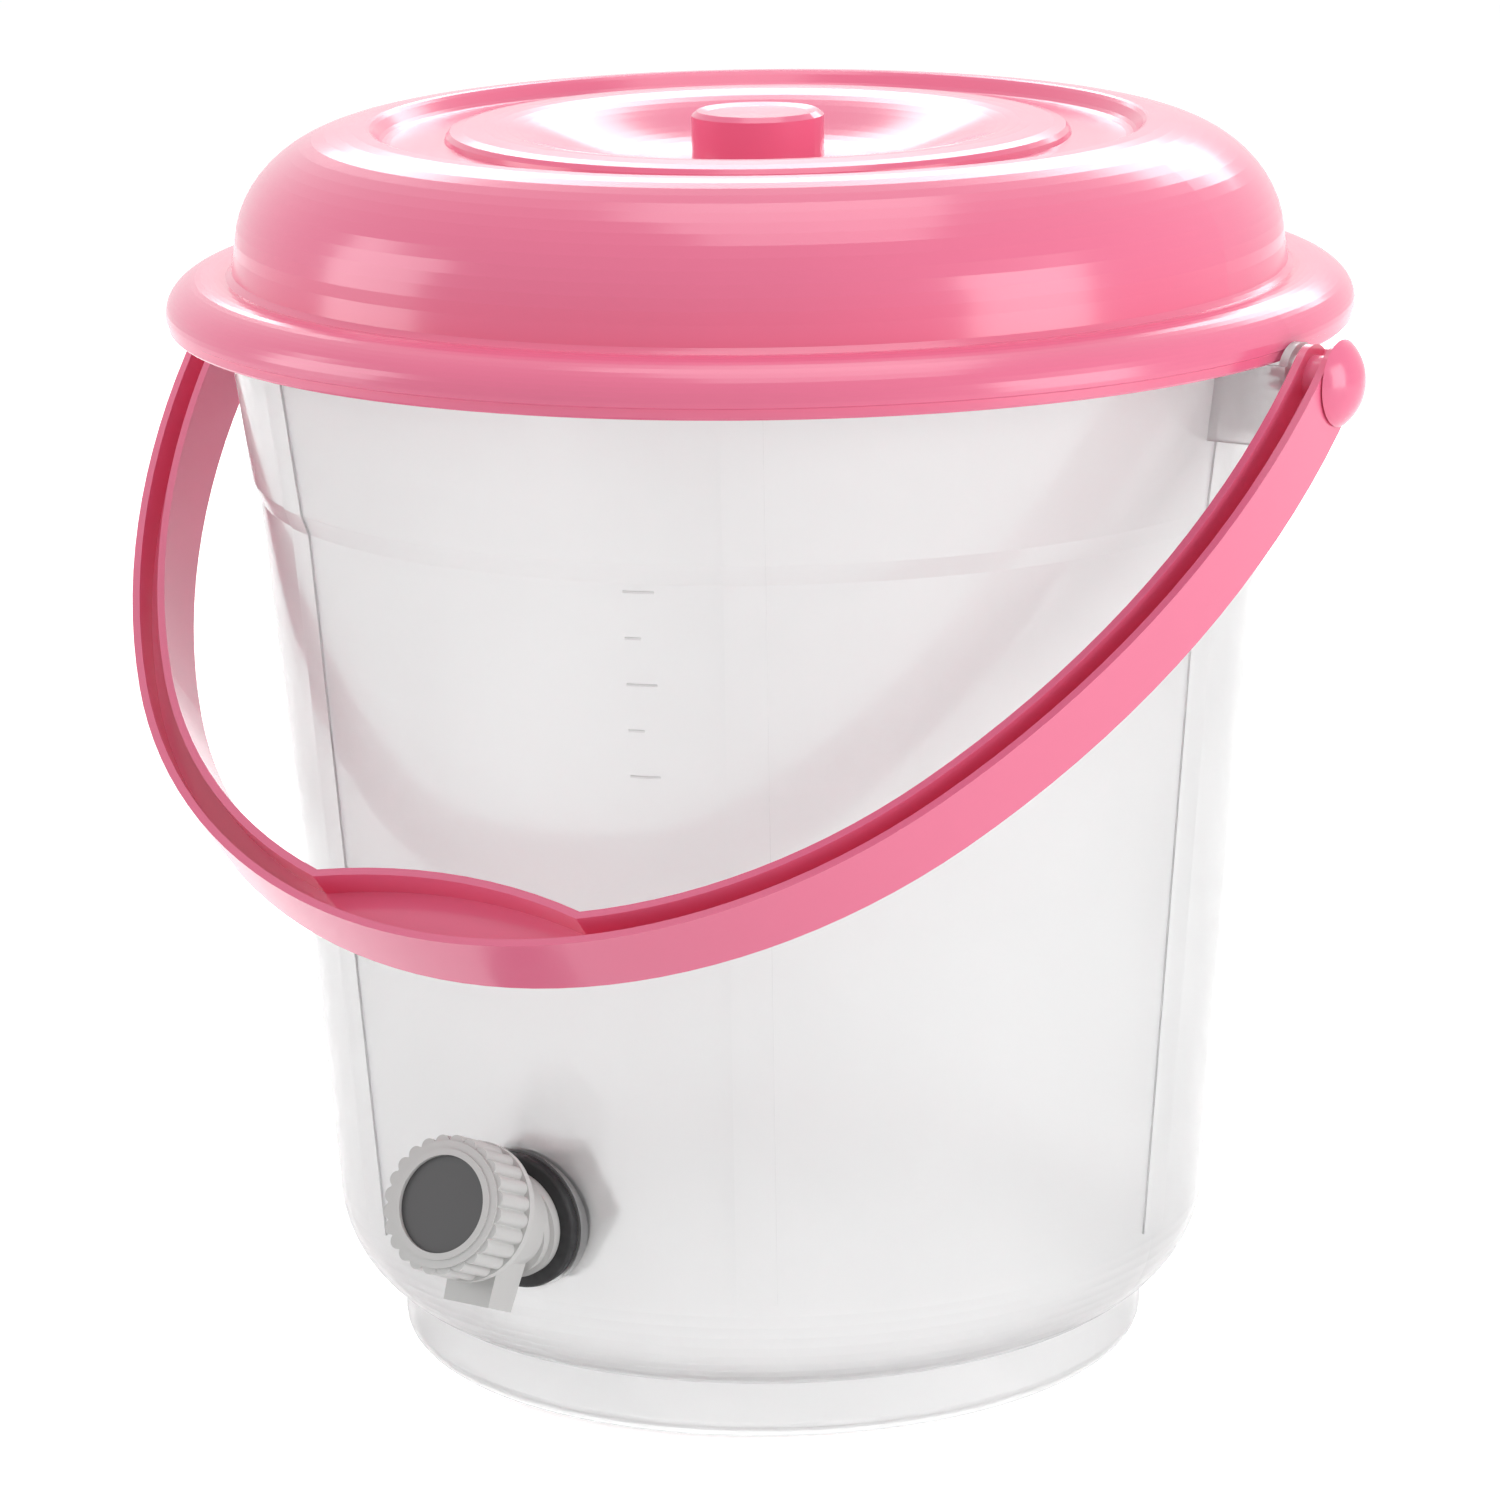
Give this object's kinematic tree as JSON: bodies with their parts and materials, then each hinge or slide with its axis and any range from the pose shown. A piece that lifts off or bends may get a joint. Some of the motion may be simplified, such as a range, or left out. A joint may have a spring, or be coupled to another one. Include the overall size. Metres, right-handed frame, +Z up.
{
  "type": "plastic fermenting bucket",
  "caption": "Tapered plastic bucket with a snap lid, a swinging bail handle and a screw-down drain tap low on the wall.",
  "frame": {"origin": "on the bucket's axis, in the plane of its foot", "axes": "+Z up along the bucket's axis, -Y towards the tap, X along the handle's pivots"},
  "size_m": [0.3366, 0.3061, 0.3191],
  "materials": {
    "bucket": "translucent natural polypropylene, softly glossy",
    "lid": "glossy pink moulded plastic",
    "handle": "glossy pink moulded plastic",
    "pivot_rivet": "glossy pink moulded plastic",
    "tap_plastic": "white moulded plastic",
    "seal": "black rubber",
    "silicone": "pale silicone rubber",
    "screw": "plated steel",
    "cap": "satin grey plastic"
  },
  "bodies": {
    "tub": {"bucket": "bucket", "pivot_rivet_right": "pivot_rivet", "pivot_rivet_left": "pivot_rivet", "tap_body": "tap_plastic", "tap_gasket": "seal", "tap_inner_washer": "silicone", "tap_backnut": "tap_plastic", "tap_bonnet": "tap_plastic"},
    "lid": {"lid": "lid"},
    "handle": {"handle": "handle"},
    "valve": {"tap_jumper": "tap_plastic", "tap_valve_washer": "seal"},
    "wheel": {"tap_spindle": "tap_plastic", "tap_spindle_o_ring": "seal", "tap_wheel": "tap_plastic", "tap_wheel_screw": "screw", "tap_wheel_cap": "cap"}
  },
  "joints": [
    {"name": "handle_swing", "type": "hinge", "parent": "tub", "child": "handle", "pos_m": [0, 0, 0.2633], "axis": [-1, 0, 0], "range_deg": [0, 261.6]},
    {"name": "lid_lift", "type": "slide", "parent": "tub", "child": "lid", "axis": [0, 0, 1], "range_m": [0, 0.06]},
    {"name": "valve_lift", "type": "slide", "parent": "tub", "child": "valve", "axis": [0, -0.9135, 0.4067], "range_m": [0, 0.00301]},
    {"name": "wheel_turn", "type": "hinge", "parent": "valve", "child": "wheel", "pos_m": [0, -0.12431, 0.0625], "axis": [0, -0.9135, 0.4067], "range_deg": [0, 450]}
  ],
  "couplings": [
    {"joint": "valve_lift", "follows": "wheel_turn", "m_per_rad": 0.00038197}
  ]
}
